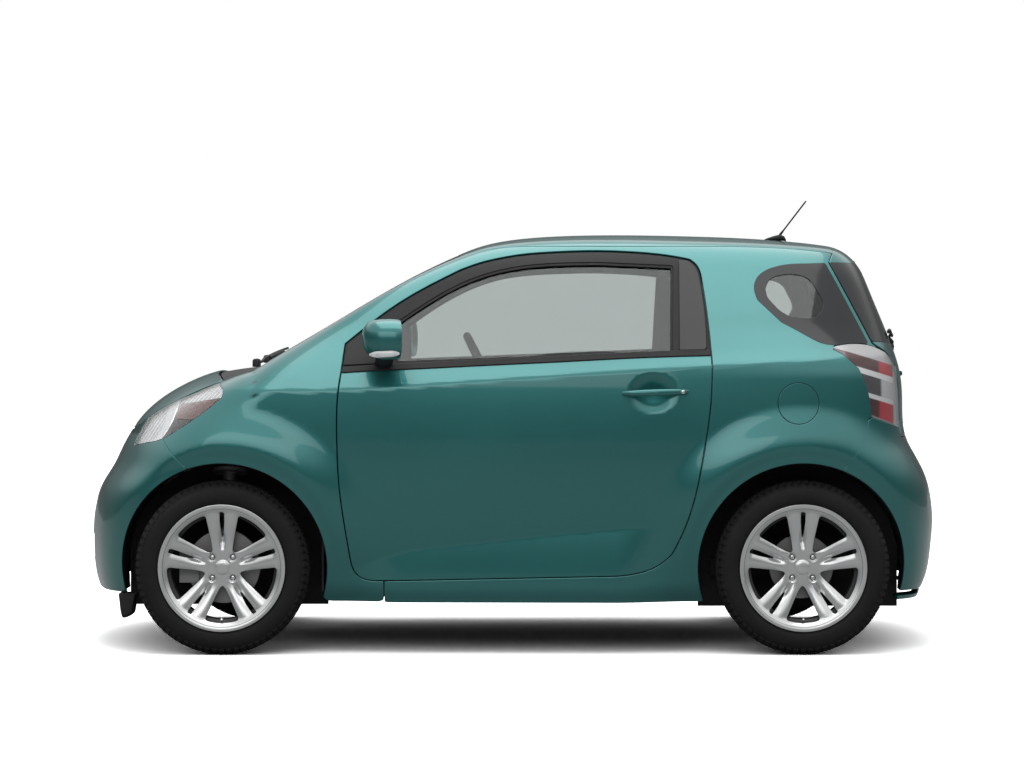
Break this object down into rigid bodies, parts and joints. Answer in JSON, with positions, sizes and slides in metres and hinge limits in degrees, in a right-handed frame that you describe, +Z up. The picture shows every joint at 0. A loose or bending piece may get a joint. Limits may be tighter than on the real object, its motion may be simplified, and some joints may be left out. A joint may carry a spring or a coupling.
{
  "type": "city car",
  "caption": "Compact hatchback city car with hinged doors, bonnet, tailgate and filler flap, steered front wheels and a hollow cabin.",
  "frame": {"origin": "on the ground at the middle of the car's bounding box in plan", "axes": "+Z up, the nose points along -Y, the car's left side is +X"},
  "size_m": [1.924, 3.0489, 1.5957],
  "materials": {
    "paint": "metallic gloss",
    "black_steel": "satin",
    "glass": "clear",
    "rubber": "matte",
    "alloy": "satin",
    "black_plastic": "textured",
    "lamp": "clear",
    "red_lamp": "clear",
    "fabric": "woven",
    "cast": "raw",
    "block": "cast"
  },
  "bodies": {
    "body": {"body_side_left": "paint", "body_side_right": "paint", "roof_panel": "paint", "windscreen": "glass", "front_bumper": "paint", "rear_bumper": "paint", "cowl": "black_plastic", "floor_pan": "black_steel", "front_frame": "cast", "radiator": "block", "engine": "block", "rear_axle": "cast", "fuel_tank": "black_plastic", "exhaust": "cast", "rear_panel": "black_steel", "dashboard": "black_plastic", "rear_seat": "fabric", "antenna": "black_plastic", "firewall": "black_steel", "front_fenders": "paint", "headlamps": "lamp", "tail_lamps": "red_lamp", "quarter_glasses": "glass", "front_seats": "fabric"},
    "left_door": {"door_left": "paint", "door_glass_left": "glass", "door_handle_left": "paint", "door_mirror_left": "paint"},
    "right_door": {"door_right": "paint", "door_glass_right": "glass", "door_handle_right": "paint", "door_mirror_right": "paint"},
    "bonnet_lid": {"bonnet": "paint"},
    "tail_door": {"tailgate": "paint", "tailgate_glass": "glass"},
    "filler_lid": {"fuel_lid": "paint"},
    "wheel_grip": {"steering_wheel": "black_plastic"},
    "left_knuckle": {"knuckle_left": "cast"},
    "right_knuckle": {"knuckle_right": "cast"},
    "wheel_front_left": {"rim_front_left": "alloy", "tyre_front_left": "rubber"},
    "wheel_front_right": {"rim_front_right": "alloy", "tyre_front_right": "rubber"},
    "wheel_rear_left": {"rim_rear_left": "alloy", "tyre_rear_left": "rubber"},
    "wheel_rear_right": {"rim_rear_right": "alloy", "tyre_rear_right": "rubber"}
  },
  "joints": [
    {"name": "door_left_hinge", "type": "hinge", "parent": "body", "child": "left_door", "pos_m": [0.806, -0.533, 0.71], "axis": [0, 0, -1], "range_deg": [0, 65]},
    {"name": "door_right_hinge", "type": "hinge", "parent": "body", "child": "right_door", "pos_m": [-0.806, -0.533, 0.71], "axis": [0, 0, 1], "range_deg": [0, 65]},
    {"name": "bonnet_hinge", "type": "hinge", "parent": "body", "child": "bonnet_lid", "pos_m": [0, -1.113, 0.946], "axis": [-1, 0, 0], "range_deg": [0, 50]},
    {"name": "tailgate_hinge", "type": "hinge", "parent": "body", "child": "tail_door", "pos_m": [0, 1.185, 1.404], "axis": [1, 0, 0], "range_deg": [0, 80]},
    {"name": "fuel_lid_hinge", "type": "hinge", "parent": "body", "child": "filler_lid", "pos_m": [0.818, 0.9095, 0.866], "axis": [0, 0, -1], "range_deg": [0, 75]},
    {"name": "steer_left", "type": "hinge", "parent": "body", "child": "left_knuckle", "pos_m": [0.688, -1, 0.19], "axis": [-0.2154, 0.0252, 0.9762], "range_deg": [-33, 33]},
    {"name": "steer_right", "type": "hinge", "parent": "body", "child": "right_knuckle", "pos_m": [-0.688, -1, 0.19], "axis": [0.2154, 0.0252, 0.9762], "range_deg": [-33, 33]},
    {"name": "steering_wheel_turn", "type": "hinge", "parent": "body", "child": "wheel_grip", "pos_m": [0.36, -0.085, 0.945], "axis": [0, 0.891, 0.454], "range_deg": [-528, 528]},
    {"name": "spin_front_left", "type": "hinge", "parent": "left_knuckle", "child": "wheel_front_left", "pos_m": [0.735, -1, 0.3], "axis": [1, 0, 0], "continuous": true},
    {"name": "spin_front_right", "type": "hinge", "parent": "right_knuckle", "child": "wheel_front_right", "pos_m": [-0.735, -1, 0.3], "axis": [1, 0, 0], "continuous": true},
    {"name": "spin_rear_left", "type": "hinge", "parent": "body", "child": "wheel_rear_left", "pos_m": [0.735, 1, 0.3], "axis": [1, 0, 0], "continuous": true},
    {"name": "spin_rear_right", "type": "hinge", "parent": "body", "child": "wheel_rear_right", "pos_m": [-0.735, 1, 0.3], "axis": [1, 0, 0], "continuous": true}
  ],
  "couplings": [
    {"joint": "steer_right", "follows": "steer_left", "ratio": 1},
    {"joint": "steering_wheel_turn", "follows": "steer_left", "ratio": 16}
  ]
}
